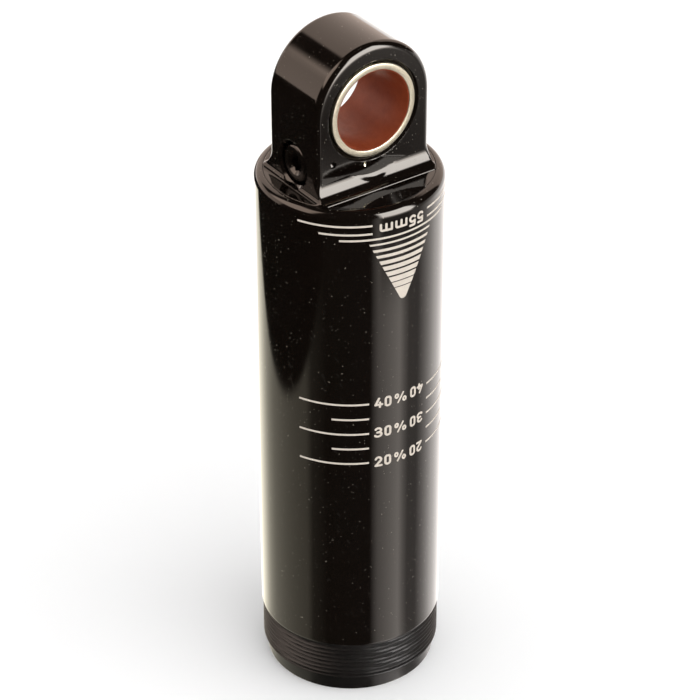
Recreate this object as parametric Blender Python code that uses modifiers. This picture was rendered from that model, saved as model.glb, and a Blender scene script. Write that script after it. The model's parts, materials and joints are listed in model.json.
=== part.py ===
"""Damper unit of a bicycle rear air shock: eyelet head, printed body tube and everything inside it.

Frame: +Z up along the tube, origin at the centre of the tube's lower rim, eyelet bore along Y.
The shaft is shown pushed fully in, so the unit stands on the rim of its tube.
Lengths below are in millimetres and are turned into metres when a mesh is made.
"""
import math

import bmesh
import bpy
from mathutils import Matrix

MM = 0.001
GAP = 0.3                   # room kept between neighbouring solids
ROUND = 48                  # facets round the head and the tube
INNER = 36                  # facets round the pieces inside the tube
SMALL = 20                  # facets round a small piece

# ---- body tube -------------------------------------------------------------------------------
TUBE_R = 14.5
TUBE_TOP = 90.25            # height of the shoulder's flat top
SHOULDER_R = 1.4            # rounding of the tube's upper rim
BORE_R = 12.2
THREAD_TOP = 9.7
THREAD_BOTTOM = 3.2
THREAD_PITCH = 0.8
THREAD_CREST_R = 14.35
THREAD_ROOT_R = 13.9
PILOT_R = 13.6              # plain rim below the thread
PILOT_TOP = 2.5
MOUTH_CHAMFER = 0.2
SOCKET_R = 13.1             # recess in the tube's upper end that takes the head
SOCKET_FLOOR = 86.4

# ---- eyelet head -----------------------------------------------------------------------------
EYE_Z = 102.4               # height of the eyelet bore's axis
EYE_HALF_WIDTH = 10.3       # across the block, along X
EYE_HALF_DEPTH = 6.3        # along the bore, along Y
EYE_ARC_Z = EYE_Z + 0.6     # centre of the rounded top
EYE_EDGE_R = 1.1
EYE_BORE_R = 7.65
EYE_BORE_CHAMFER = 0.5
SPOT_FACE_R = 10.2          # flat turned round the bore, which bites into the coves
COVE_R = 2.6                # hollow between the wide faces and the shoulder
COVE_HALF_WIDTH = 9.1
SIDE_COVE_R = 1.0           # the same on the narrow faces
SIDE_COVE_HALF_WIDTH = 5.1
PLUG_R = SOCKET_R - GAP
PLUG_BOTTOM = SOCKET_FLOOR + GAP
GAS_POCKET_R = 10.0
GAS_POCKET_TOP = 88.6
DIMPLE_X = -7.66            # small drilled mark on the front face
DIMPLE_Z = 95.4

# ---- eyelet bushing --------------------------------------------------------------------------
PIN_R = 6.35                # a 12.7 mm pin runs in it
LINER_R = 6.6
SHELL_IN_R = 6.75
SHELL_R = 7.5

# ---- gas fill port ---------------------------------------------------------------------------
PORT_Z = 93.85
PORT_R = 3.4
PORT_DEPTH = 3.0
PORT_HOLE_R = 2.3
PORT_HOLE_DEPTH = 5.0
SCREW_HEAD_R = 3.05
SCREW_HEAD_TOP = 0.3        # depth of the screw's crown below the face
SCREW_HEAD_BASE = 1.8
SCREW_SHANK_R = 2.0
SCREW_END = 4.7
SOCKET_KEY_R = 1.5          # hexagon socket, across corners
PASSAGE_R = 0.7
PASSAGE_X = -6.0

# ---- shaft and piston ------------------------------------------------------------------------
STROKE = 55.0
SHAFT_R = 4.5
SHAFT_BOTTOM = 0.6
SHOULDER_Z = 67.1           # seat that the piston stack is clamped against
STUD_R = 3.0
STUD_TOP = 81.4
ROD_BORE_R = 1.8
ROD_R = 1.4
ROD_BOTTOM = 7.4
METERING_R = 0.9
METERING_Z = 70.0
SHAFT_THREAD_R = 2.6        # threaded hole in the shaft's lower end
SHAFT_THREAD_TOP = 7.0
WASHER_T = 1.0
SHIM_T = 0.4
PISTON_R = 11.6
PISTON_H = 6.5
PISTON_PORTS = 6
PISTON_PORT_R = 1.2
PISTON_PORT_PITCH_R = 7.2
NUT_H = 3.3
NUT_R = 5.77                # across corners, 10 mm across flats

# ---- floating piston -------------------------------------------------------------------------
IFP_BOTTOM = 79.2
IFP_H = 6.2
IFP_R = BORE_R - GAP
IFP_POCKET_R = 6.6
IFP_POCKET_H = 2.7

# ---- seal head -------------------------------------------------------------------------------
RING_Z = 1.5                # retaining ring
RING_WIRE_R = 0.5
RING_GROOVE_R = 12.85
SEAL_HEAD_BOTTOM = 2.3
SEAL_HEAD_H = 7.5
BUMPER_BOTTOM = SEAL_HEAD_BOTTOM + SEAL_HEAD_H + GAP
BUMPER_H = 2.0

# ---- finishes: colour, roughness, metallic ---------------------------------------------------
BLACK_ANODISED = ((0.018, 0.015, 0.014), 0.22, 0.9)
BUSHING_STEEL = ((0.72, 0.68, 0.58), 0.32, 1.0)
LINER_RED = ((0.26, 0.07, 0.035), 0.45, 0.0)
ALUMINIUM = ((0.62, 0.63, 0.64), 0.35, 1.0)
HARD_CHROME = ((0.78, 0.78, 0.79), 0.08, 1.0)
STEEL = ((0.45, 0.45, 0.46), 0.3, 1.0)
BRASS = ((0.65, 0.5, 0.24), 0.3, 1.0)
BLACK_RUBBER = ((0.02, 0.02, 0.02), 0.6, 0.0)
POLYMER = ((0.75, 0.72, 0.62), 0.5, 0.0)
BRONZE_POLYMER = ((0.33, 0.2, 0.11), 0.5, 0.0)


# ---- scene set-up ----------------------------------------------------------------------------
def clear_scene():
    for obj in list(bpy.data.objects):
        bpy.data.objects.remove(obj, do_unlink=True)


def new_collection(name):
    collection = bpy.data.collections.new(name)
    bpy.context.scene.collection.children.link(collection)
    return collection


def principled(name, finish):
    colour, roughness, metallic = finish
    material = bpy.data.materials.new(name)
    material.use_nodes = True
    shader = material.node_tree.nodes["Principled BSDF"]
    shader.inputs["Base Color"].default_value = (*colour, 1.0)
    shader.inputs["Roughness"].default_value = roughness
    shader.inputs["Metallic"].default_value = metallic
    material.diffuse_color = (*colour, 1.0)
    return material


clear_scene()
PARTS = new_collection("rear_shock_damper")
CUTTERS = new_collection("cutters")


def pivot(name, location, rotation=(0.0, 0.0, 0.0)):
    """An empty on a joint's axis; location in millimetres."""
    empty = bpy.data.objects.new(name, None)
    empty.location = [value * MM for value in location]
    empty.rotation_euler = rotation
    empty.empty_display_size = 0.01
    PARTS.objects.link(empty)
    return empty


# ---- shape makers ----------------------------------------------------------------------------
def place(obj, location=(0.0, 0.0, 0.0), rotation=(0.0, 0.0, 0.0), parent=None, finish=None):
    """Link a part (with a finish) or a cutter (without one)."""
    obj.location = [value * MM for value in location]
    obj.rotation_euler = rotation
    obj.parent = parent
    if finish is None:
        obj.hide_render = True
        obj.display_type = "WIRE"
        CUTTERS.objects.link(obj)
    else:
        obj.data.materials.append(principled(obj.name, finish))
        PARTS.objects.link(obj)
    return obj


def evaluated_mesh(obj, weld=0.00001):
    """The object's shape after its modifiers, welded, as a new mesh."""
    bpy.context.view_layer.update()
    graph = bpy.context.evaluated_depsgraph_get()
    mesh = bpy.data.meshes.new_from_object(obj.evaluated_get(graph))
    shape = bmesh.new()
    shape.from_mesh(mesh)
    bmesh.ops.remove_doubles(shape, verts=shape.verts, dist=weld)
    shape.to_mesh(mesh)
    shape.free()
    mesh.shade_smooth()
    mesh.set_sharp_from_angle(angle=math.radians(30))
    return mesh


def turned(name, outline, facets=ROUND, **placing):
    """A turned piece. outline holds (radius, height) points and runs down its outer side.

    It is closed when it stays clear of the axis and open when it starts and ends on the axis.
    """
    on_axis = outline[0][0] == 0.0
    mesh = bpy.data.meshes.new(name)
    points = [(radius * MM, 0.0, height * MM) for radius, height in outline]
    edges = [(index, index + 1) for index in range(len(points) - 1)]
    if not on_axis:
        edges.append((len(points) - 1, 0))
    mesh.from_pydata(points, edges, [])
    profile = bpy.data.objects.new(name + "_profile", mesh)
    CUTTERS.objects.link(profile)
    screw = profile.modifiers.new("turn", "SCREW")
    screw.angle = math.tau
    screw.steps = facets
    screw.render_steps = facets
    screw.use_merge_vertices = True
    screw.merge_threshold = 0.00001
    obj = bpy.data.objects.new(name, evaluated_mesh(profile))
    obj.data.name = name
    bpy.data.objects.remove(profile, do_unlink=True)
    bpy.data.meshes.remove(mesh)
    return place(obj, **placing)


def ring_outline(inner, outer, height, chamfer=0.0):
    """Rectangle section standing on zero height, with its two outer corners chamfered."""
    if chamfer == 0.0:
        return [(outer, height), (outer, 0.0), (inner, 0.0), (inner, height)]
    return [
        (outer - chamfer, height),
        (outer, height - chamfer),
        (outer, chamfer),
        (outer - chamfer, 0.0),
        (inner, 0.0),
        (inner, height),
    ]


def disc_outline(radius, height):
    return [(0.0, height), (radius, height), (radius, 0.0), (0.0, 0.0)]


def o_ring(name, mean_r, wire_r, z, facets=INNER, parent=None, finish=BLACK_RUBBER):
    section = 6
    outline = []
    for index in range(section):
        angle = math.pi / section - math.tau * index / section
        outline.append((mean_r + wire_r * math.cos(angle), wire_r * math.sin(angle)))
    return turned(name, outline, facets, location=(0.0, 0.0, z), parent=parent, finish=finish)


def slab(name, outline, half_thickness, **placing):
    """A flat outline in the XY plane, thickened both ways along Z."""
    curve = bpy.data.curves.new(name, "CURVE")
    curve.dimensions = "2D"
    curve.fill_mode = "BOTH"
    curve.extrude = half_thickness * MM
    spline = curve.splines.new("POLY")
    spline.points.add(len(outline) - 1)
    for point, (x, y) in zip(spline.points, outline):
        point.co = (x * MM, y * MM, 0.0, 1.0)
    spline.use_cyclic_u = True
    guide = bpy.data.objects.new(name + "_outline", curve)
    CUTTERS.objects.link(guide)
    obj = bpy.data.objects.new(name, evaluated_mesh(guide))
    bpy.data.objects.remove(guide, do_unlink=True)
    bpy.data.curves.remove(curve)
    return place(obj, **placing)


def arc(centre_x, centre_y, radius, start, end, steps):
    """Points on an arc, angles in degrees."""
    points = []
    for index in range(steps + 1):
        angle = math.radians(start + (end - start) * index / steps)
        points.append((centre_x + radius * math.cos(angle), centre_y + radius * math.sin(angle)))
    return points


def cut(target, cutter):
    modifier = target.modifiers.new("cut " + cutter.name, "BOOLEAN")
    modifier.operation = "DIFFERENCE"
    modifier.object = cutter


def join(target, piece):
    modifier = target.modifiers.new("join " + piece.name, "BOOLEAN")
    modifier.operation = "UNION"
    modifier.object = piece


FACE_FRONT = (math.pi / 2, 0.0, 0.0)        # local Z turned to -Y
FACE_LEFT = (0.0, -math.pi / 2, 0.0)        # local Z turned to -X


# ---- body tube -------------------------------------------------------------------------------
def build_body_tube():
    outline = arc(TUBE_R - SHOULDER_R, TUBE_TOP - SHOULDER_R, SHOULDER_R, 90, 0, 4)
    outline.append((TUBE_R, THREAD_TOP + 0.15))
    height = THREAD_TOP
    while height - THREAD_PITCH > THREAD_BOTTOM:
        outline.append((THREAD_CREST_R, height))
        outline.append((THREAD_ROOT_R, height - THREAD_PITCH / 2))
        height -= THREAD_PITCH
    outline.append((THREAD_CREST_R, height))
    outline.append((PILOT_R, PILOT_TOP))
    outline.append((PILOT_R, MOUTH_CHAMFER))
    outline.append((PILOT_R - MOUTH_CHAMFER / 2, 0.0))
    outline.append((BORE_R + MOUTH_CHAMFER / 2, 0.0))
    outline.append((BORE_R, MOUTH_CHAMFER))
    groove_half = RING_WIRE_R + 0.15
    outline.append((BORE_R, RING_Z - groove_half))
    outline.append((RING_GROOVE_R, RING_Z - groove_half))
    outline.append((RING_GROOVE_R, RING_Z + groove_half))
    outline.append((BORE_R, RING_Z + groove_half))
    outline.append((BORE_R, SOCKET_FLOOR))
    outline.append((SOCKET_R, SOCKET_FLOOR))
    turned("body_tube", outline, finish=BLACK_ANODISED)


# ---- eyelet head -----------------------------------------------------------------------------
def extended(chord_from, chord_to, length):
    """The point that lies length beyond chord_to, on the line from chord_from."""
    run = math.dist(chord_from, chord_to)
    step = length / run
    return (
        chord_to[0] + (chord_to[0] - chord_from[0]) * step,
        chord_to[1] + (chord_to[1] - chord_from[1]) * step,
    )


def foot_outline(half_block, radius):
    """Flared foot: two hollow quarter rounds from the block's sides out to the shoulder."""
    steps = 5
    right = arc(half_block + radius, TUBE_TOP + radius, radius, 180, 270, steps)
    right.insert(0, extended(right[1], right[0], 0.5))
    right.append(extended(right[-2], right[-1], 0.5))
    right.append((right[-1][0], TUBE_TOP - 0.8))
    left = [(-x, y) for x, y in reversed(right)]
    return left + right


def build_eyelet_head():
    plug = [
        (0.0, TUBE_TOP),
        (PLUG_R, TUBE_TOP),
        (PLUG_R, 88.6),
        (11.7, 88.6),
        (11.7, 87.2),
        (PLUG_R, 87.2),
        (PLUG_R, PLUG_BOTTOM),
        (GAS_POCKET_R, PLUG_BOTTOM),
        (GAS_POCKET_R, GAS_POCKET_TOP),
        (0.0, GAS_POCKET_TOP),
    ]
    head = turned("eyelet_head", plug, finish=BLACK_ANODISED)

    block_foot = TUBE_TOP - 1.0
    outline = [(-EYE_HALF_WIDTH, block_foot), (EYE_HALF_WIDTH, block_foot)]
    outline += arc(0.0, EYE_ARC_Z, EYE_HALF_WIDTH, 0, 180, 24)
    block = slab("eyelet_block", outline, EYE_HALF_DEPTH, rotation=FACE_FRONT)
    bevel = block.modifiers.new("rounded edges", "BEVEL")
    bevel.width = EYE_EDGE_R * MM
    bevel.segments = 3
    bevel.limit_method = "ANGLE"
    bevel.angle_limit = math.radians(40)
    join(head, block)

    cove = foot_outline(EYE_HALF_DEPTH, COVE_R)
    front_foot = slab("front_foot", cove, COVE_HALF_WIDTH, rotation=(math.pi / 2, 0.0, math.pi / 2))
    join(head, front_foot)
    side_cove = foot_outline(EYE_HALF_WIDTH, SIDE_COVE_R)
    side_foot = slab("side_foot", side_cove, SIDE_COVE_HALF_WIDTH, rotation=FACE_FRONT)
    join(head, side_foot)

    spot_depth = 4.0
    for side, turn in (("front", math.pi / 2), ("back", -math.pi / 2)):
        direction = -1 if side == "front" else 1
        spot = turned(
            side + "_spot_face",
            disc_outline(SPOT_FACE_R, spot_depth),
            location=(0.0, direction * (EYE_HALF_DEPTH + 0.02), EYE_Z),
            rotation=(turn, 0.0, 0.0),
        )
        cut(head, spot)

    reach = EYE_HALF_DEPTH + 1.0
    flare = EYE_BORE_R + EYE_BORE_CHAMFER + 1.0
    bore_outline = [
        (0.0, reach),
        (flare, reach),
        (EYE_BORE_R, EYE_HALF_DEPTH - EYE_BORE_CHAMFER),
        (EYE_BORE_R, EYE_BORE_CHAMFER - EYE_HALF_DEPTH),
        (flare, -reach),
        (0.0, -reach),
    ]
    bore = turned("eyelet_bore", bore_outline, location=(0.0, 0.0, EYE_Z), rotation=FACE_FRONT)
    cut(head, bore)

    outside = 3.0
    port_outline = [
        (0.0, outside),
        (PORT_R, outside),
        (PORT_R, -PORT_DEPTH),
        (PORT_HOLE_R, -PORT_DEPTH),
        (PORT_HOLE_R, -PORT_HOLE_DEPTH),
        (0.0, -PORT_HOLE_DEPTH),
    ]
    port = turned(
        "fill_port_bore",
        port_outline,
        facets=32,
        location=(-EYE_HALF_WIDTH, 0.0, PORT_Z),
        rotation=FACE_LEFT,
    )
    cut(head, port)

    passage_bottom = GAS_POCKET_TOP - 0.5
    passage = turned(
        "gas_passage",
        disc_outline(PASSAGE_R, PORT_Z - passage_bottom),
        facets=16,
        location=(PASSAGE_X, 0.0, passage_bottom),
    )
    cut(head, passage)

    dimple = turned(
        "drilled_mark",
        [(0.0, 1.0), (0.5, 1.0), (0.5, -0.4), (0.0, -0.7)],
        facets=12,
        location=(DIMPLE_X, -EYE_HALF_DEPTH, DIMPLE_Z),
        rotation=FACE_FRONT,
    )
    cut(head, dimple)


def build_eyelet_bushing():
    length = 2 * EYE_HALF_DEPTH
    back_end = (0.0, EYE_HALF_DEPTH, EYE_Z)
    shell = ring_outline(SHELL_IN_R, SHELL_R, length, 0.2)
    turned("bushing_shell", shell, location=back_end, rotation=FACE_FRONT, finish=BUSHING_STEEL)
    liner = ring_outline(PIN_R, LINER_R, length)
    turned("bushing_liner", liner, location=back_end, rotation=FACE_FRONT, finish=LINER_RED)


def build_fill_screw():
    """Button-head screw in the narrow face; local +Z points out of the port."""
    axis = pivot("fill_screw_axis", (-EYE_HALF_WIDTH, 0.0, PORT_Z), FACE_LEFT)
    crown_r = 2.0
    dome = [(0.0, -SCREW_HEAD_TOP), (crown_r, -SCREW_HEAD_TOP)]
    dome += [
        (2.6, -SCREW_HEAD_TOP - 0.25),
        (SCREW_HEAD_R, -SCREW_HEAD_TOP - 0.75),
        (SCREW_HEAD_R, -SCREW_HEAD_BASE),
        (SCREW_SHANK_R, -SCREW_HEAD_BASE),
        (SCREW_SHANK_R, -SCREW_END + 0.3),
        (SCREW_SHANK_R - 0.3, -SCREW_END),
        (0.0, -SCREW_END),
    ]
    screw = turned("fill_screw", dome, SMALL, parent=axis, finish=BLACK_ANODISED)
    key = turned("fill_screw_socket", disc_outline(SOCKET_KEY_R, 1.4), 6, location=(0, 0, -1.6))
    key.parent = axis
    cut(screw, key)
    o_ring("fill_screw_seal", 2.65, 0.4, -2.4, SMALL, parent=axis)


# ---- seals between head, tube and seal head --------------------------------------------------
def build_static_seals():
    o_ring("head_o_ring", 12.35, 0.45, 87.9)
    o_ring("seal_head_o_ring", 11.35, 0.6, SEAL_HEAD_BOTTOM + 3.75)


# ---- floating piston: parts the oil from the gas ---------------------------------------------
def build_floating_piston():
    axis = pivot("floating_piston_slide", (0.0, 0.0, IFP_BOTTOM))
    outline = [
        (0.0, IFP_H),
        (IFP_R - 0.3, IFP_H),
        (IFP_R, IFP_H - 0.3),
        (IFP_R, 5.2),
        (11.2, 5.2),
        (11.2, 3.9),
        (IFP_R, 3.9),
        (IFP_R, 3.2),
        (10.4, 3.2),
        (10.4, 1.4),
        (IFP_R, 1.4),
        (IFP_R, 0.3),
        (IFP_R - 0.3, 0.0),
        (IFP_POCKET_R, 0.0),
        (IFP_POCKET_R, IFP_POCKET_H),
        (0.0, IFP_POCKET_H),
    ]
    piston = turned("floating_piston", outline, INNER, parent=axis, finish=ALUMINIUM)
    hole_outline = [
        (0.0, IFP_H + 1.0),
        (1.5, IFP_H + 1.0),
        (1.5, 4.4),
        (2.5, 4.4),
        (2.5, IFP_POCKET_H - 1.0),
        (0.0, IFP_POCKET_H - 1.0),
    ]
    hole = turned("bleed_hole", hole_outline, SMALL)
    hole.parent = axis
    cut(piston, hole)
    screw_outline = [
        (0.0, 6.0),
        (1.2, 6.0),
        (1.2, 4.1),
        (2.2, 4.1),
        (2.2, 3.0),
        (1.9, 2.8),
        (0.0, 2.8),
    ]
    screw = turned("bleed_screw", screw_outline, SMALL, parent=axis, finish=STEEL)
    key = turned("bleed_screw_socket", disc_outline(1.0, 1.4), 6, location=(0.0, 0.0, 2.4))
    key.parent = axis
    cut(screw, key)
    o_ring("floating_piston_o_ring", 11.2, 0.6, 2.3, parent=axis)
    band = ring_outline(11.4, IFP_R + 0.1, 0.9)
    turned(
        "floating_piston_glide_ring",
        band,
        INNER,
        location=(0.0, 0.0, 4.1),
        parent=axis,
        finish=POLYMER,
    )


# ---- shaft, rebound rod and the stack clamped on the shaft -----------------------------------
def build_shaft(axis):
    outline = [
        (METERING_R, STUD_TOP),
        (STUD_R - 0.3, STUD_TOP),
        (STUD_R, STUD_TOP - 0.3),
        (STUD_R, SHOULDER_Z),
        (SHAFT_R - 0.3, SHOULDER_Z),
        (SHAFT_R, SHOULDER_Z - 0.3),
        (SHAFT_R, SHAFT_BOTTOM + 0.5),
        (SHAFT_R - 0.5, SHAFT_BOTTOM),
        (SHAFT_THREAD_R, SHAFT_BOTTOM),
        (SHAFT_THREAD_R, SHAFT_THREAD_TOP),
        (ROD_BORE_R, SHAFT_THREAD_TOP),
        (ROD_BORE_R, METERING_Z),
        (METERING_R, METERING_Z + 0.6),
    ]
    shaft = turned("damper_shaft", outline, 28, parent=axis, finish=HARD_CHROME)
    cross_length = 2 * SHAFT_R + 2.0
    cross_z = SHOULDER_Z - 2.6
    cross = turned(
        "rebound_cross_hole",
        disc_outline(0.8, cross_length),
        12,
        location=(0.0, cross_length / 2, cross_z),
        rotation=FACE_FRONT,
    )
    cut(shaft, cross)


def build_rebound_rod(axis):
    rod_axis = pivot("rebound_rod_slide", (0.0, 0.0, ROD_BOTTOM))
    rod_axis.parent = axis
    needle_top = METERING_Z - 1.0 - ROD_BOTTOM
    outline = [
        (0.0, needle_top),
        (0.5, needle_top),
        (ROD_R, needle_top - 3.0),
        (ROD_R, 3.6),
        (0.9, 3.6),
        (0.9, 2.6),
        (ROD_R, 2.6),
        (ROD_R, 0.3),
        (ROD_R - 0.3, 0.0),
        (0.0, 0.0),
    ]
    rod = turned("rebound_rod", outline, SMALL, parent=rod_axis, finish=BRASS)
    key = turned("rebound_rod_socket", disc_outline(0.7, 2.0), 6, location=(0.0, 0.0, -0.8))
    key.parent = rod_axis
    cut(rod, key)
    o_ring("rebound_rod_o_ring", 1.3, 0.28, 3.1, SMALL, parent=rod_axis)


def build_piston_stack(axis):
    """Everything between the shaft's shoulder and the nut, from the bottom up."""
    hole = STUD_R + GAP
    z = SHOULDER_Z + GAP
    washer = ring_outline(hole, 7.0, WASHER_T, 0.2)
    turned("backing_washer", washer, 28, location=(0, 0, z), parent=axis, finish=STEEL)
    z += WASHER_T + GAP
    for name, radius in (("rebound_shim_small", 7.2), ("rebound_shim_large", 9.0)):
        shim = ring_outline(hole, radius, SHIM_T)
        turned(name, shim, 28, location=(0, 0, z), parent=axis, finish=STEEL)
        z += SHIM_T + GAP
    build_main_piston(axis, z)
    z += PISTON_H + GAP
    stack = (("compression_shim_large", 9.0), ("compression_shim_small", 6.6))
    for name, radius in stack:
        shim = ring_outline(hole, radius, SHIM_T)
        turned(name, shim, 28, location=(0, 0, z), parent=axis, finish=STEEL)
        z += SHIM_T + GAP
    nut_outline = disc_outline(NUT_R, NUT_H)
    nut = turned("piston_nut", nut_outline, 6, location=(0, 0, z), parent=axis, finish=STEEL)
    nut.data.shade_flat()
    nut_hole = turned("nut_hole", disc_outline(hole, NUT_H + 2.0), 28, location=(0, 0, z - 1.0))
    nut_hole.parent = axis
    cut(nut, nut_hole)


def build_main_piston(axis, z):
    groove_bottom = 1.5
    groove_top = PISTON_H - 1.5
    outline = [
        (PISTON_R - 0.3, PISTON_H),
        (PISTON_R, PISTON_H - 0.3),
        (PISTON_R, groove_top),
        (10.1, groove_top),
        (10.1, groove_bottom),
        (PISTON_R, groove_bottom),
        (PISTON_R, 0.3),
        (PISTON_R - 0.3, 0.0),
        (STUD_R + GAP, 0.0),
        (STUD_R + GAP, PISTON_H),
    ]
    piston = turned("main_piston", outline, INNER, location=(0, 0, z), parent=axis, finish=ALUMINIUM)
    for index in range(PISTON_PORTS):
        angle = math.tau * index / PISTON_PORTS
        port = turned(
            "piston_port_%d" % index,
            disc_outline(PISTON_PORT_R, PISTON_H + 2.0),
            10,
            location=(
                PISTON_PORT_PITCH_R * math.cos(angle),
                PISTON_PORT_PITCH_R * math.sin(angle),
                z - 1.0,
            ),
        )
        port.parent = axis
        cut(piston, port)
    middle = z + PISTON_H / 2
    o_ring("piston_band_o_ring", 10.7, 0.4, middle, parent=axis)
    band = ring_outline(11.3, BORE_R - 0.2, groove_top - groove_bottom - 2 * GAP)
    band_z = z + groove_bottom + GAP
    turned(
        "piston_glide_band",
        band,
        INNER,
        location=(0.0, 0.0, band_z),
        parent=axis,
        finish=BRONZE_POLYMER,
    )


# ---- seal head: closes the tube's mouth and guides the shaft ---------------------------------
def build_seal_head():
    outer = BORE_R - GAP
    outline = [
        (outer - 0.3, SEAL_HEAD_H),
        (outer, SEAL_HEAD_H - 0.3),
        (outer, 4.7),
        (10.5, 4.7),
        (10.5, 2.8),
        (outer, 2.8),
        (outer, 0.0),
        (7.0, 0.0),
        (7.0, 3.4),
        (SHAFT_R + GAP, 3.4),
        (SHAFT_R + GAP, 4.1),
        (5.6, 4.1),
        (5.6, SEAL_HEAD_H),
    ]
    base = (0.0, 0.0, SEAL_HEAD_BOTTOM)
    turned("seal_head", outline, INNER, location=base, finish=ALUMINIUM)
    shaft_clear = SHAFT_R + 0.25
    bushing = ring_outline(shaft_clear, 5.35, 2.9)
    bushing_z = SEAL_HEAD_BOTTOM + 4.4
    turned("shaft_bushing", bushing, 28, location=(0, 0, bushing_z), finish=BRONZE_POLYMER)
    wiper = [
        (shaft_clear + 0.5, 1.3),
        (6.75, 1.3),
        (6.75, 0.3),
        (shaft_clear, 0.0),
        (shaft_clear, 0.5),
    ]
    wiper_z = SEAL_HEAD_BOTTOM + 0.1
    turned("shaft_wiper", wiper, 28, location=(0, 0, wiper_z), finish=BLACK_RUBBER)
    lip = [
        (6.7, 1.5),
        (6.7, 0.0),
        (shaft_clear + 0.2, 0.0),
        (shaft_clear, 1.5),
        (shaft_clear + 0.4, 1.5),
        (5.7, 0.7),
        (6.2, 1.5),
    ]
    seal_z = SEAL_HEAD_BOTTOM + 1.7
    turned("shaft_seal", lip, 28, location=(0, 0, seal_z), finish=POLYMER)
    bumper = ring_outline(SHAFT_R + 0.4, 7.4, BUMPER_H, 0.5)
    turned("top_out_bumper", bumper, 28, location=(0, 0, BUMPER_BOTTOM), finish=BLACK_RUBBER)


def build_retaining_ring():
    """Open wire ring sprung into the groove in the tube's mouth."""
    curve = bpy.data.curves.new("retaining_ring", "CURVE")
    curve.dimensions = "3D"
    curve.bevel_depth = RING_WIRE_R * MM
    curve.bevel_resolution = 2
    curve.use_fill_caps = True
    radius = 12.15
    points = arc(0.0, 0.0, radius, 105, 435, 28)
    spline = curve.splines.new("POLY")
    spline.points.add(len(points) - 1)
    for point, (x, y) in zip(spline.points, points):
        point.co = (x * MM, y * MM, 0.0, 1.0)
    guide = bpy.data.objects.new("retaining_ring_path", curve)
    CUTTERS.objects.link(guide)
    obj = bpy.data.objects.new("retaining_ring", evaluated_mesh(guide))
    bpy.data.objects.remove(guide, do_unlink=True)
    bpy.data.curves.remove(curve)
    place(obj, location=(0.0, 0.0, RING_Z), finish=STEEL)


def build():
    build_body_tube()
    build_eyelet_head()
    build_eyelet_bushing()
    build_fill_screw()
    build_static_seals()
    build_floating_piston()
    shaft_axis = pivot("shaft_slide", (0.0, 0.0, 0.0))
    build_shaft(shaft_axis)
    build_rebound_rod(shaft_axis)
    build_piston_stack(shaft_axis)
    build_seal_head()
    build_retaining_ring()


build()
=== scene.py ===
"""Looks of a bicycle rear shock's damper unit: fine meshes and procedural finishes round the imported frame.

Lengths are in millimetres and angles in degrees unless a name says otherwise. Meshes are made in metres.
"""
import json
import math

import bpy
import numpy as np
from mathutils import Matrix, Vector

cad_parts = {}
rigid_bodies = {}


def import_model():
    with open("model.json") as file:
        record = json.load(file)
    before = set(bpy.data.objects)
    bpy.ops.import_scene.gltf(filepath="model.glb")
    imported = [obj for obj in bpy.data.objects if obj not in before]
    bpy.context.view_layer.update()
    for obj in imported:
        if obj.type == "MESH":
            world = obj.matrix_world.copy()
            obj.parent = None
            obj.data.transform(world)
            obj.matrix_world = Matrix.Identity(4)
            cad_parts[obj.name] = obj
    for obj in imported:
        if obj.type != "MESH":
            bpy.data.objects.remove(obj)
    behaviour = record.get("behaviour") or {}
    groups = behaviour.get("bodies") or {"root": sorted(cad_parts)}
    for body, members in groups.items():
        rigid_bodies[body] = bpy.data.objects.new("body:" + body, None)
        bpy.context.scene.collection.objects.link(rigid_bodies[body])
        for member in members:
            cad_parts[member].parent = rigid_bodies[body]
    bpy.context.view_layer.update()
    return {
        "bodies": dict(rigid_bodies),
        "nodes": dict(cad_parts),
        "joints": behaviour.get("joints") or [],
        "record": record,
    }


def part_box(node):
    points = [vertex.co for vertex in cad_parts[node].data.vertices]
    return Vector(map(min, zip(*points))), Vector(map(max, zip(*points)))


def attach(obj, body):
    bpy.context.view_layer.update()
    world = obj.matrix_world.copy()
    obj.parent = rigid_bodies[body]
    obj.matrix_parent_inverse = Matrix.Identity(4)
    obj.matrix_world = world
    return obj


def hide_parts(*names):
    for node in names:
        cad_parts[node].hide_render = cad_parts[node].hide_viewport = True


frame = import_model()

MM = 0.001
ROOT_2 = math.sqrt(2)


# ---- sizes read from the frame ----
def node_box(node):
    low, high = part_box(node)
    return low / MM, high / MM


def joint_place(name):
    for joint in frame["joints"]:
        if joint["name"] == name:
            return [value / MM for value in joint["pos_m"]]


_, TUBE_HIGH = node_box("body_tube")
TUBE_R = TUBE_HIGH.x
TUBE_TOP = TUBE_HIGH.z
HEAD_LOW, HEAD_HIGH = node_box("eyelet_head")
HEAD_TOP = HEAD_HIGH.z
PLUG_BOTTOM = HEAD_LOW.z
SHELL_LOW, SHELL_HIGH = node_box("bushing_shell")
SHELL_R = (SHELL_HIGH.z - SHELL_LOW.z) / 2
EYE_Z = (SHELL_HIGH.z + SHELL_LOW.z) / 2
HALF_DEPTH = SHELL_HIGH.y
PORT_X, _, PORT_Z = joint_place("fill_screw_turn")
HALF_WIDTH = -PORT_X
EYE_ARC_Z = HEAD_TOP - HALF_WIDTH
SCREW_LOW, SCREW_HIGH = node_box("fill_screw")
SCREW_R = (SCREW_HIGH.z - SCREW_LOW.z) / 2
SHAFT_LOW, SHAFT_HIGH = node_box("damper_shaft")
SHAFT_R = SHAFT_HIGH.x

SLOTS = {piece["node"]: piece["material_slot"] for piece in frame["record"]["subparts"]}
BODIES = {
    node: body for body, nodes in frame["record"]["behaviour"]["bodies"].items() for node in nodes
}

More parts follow.
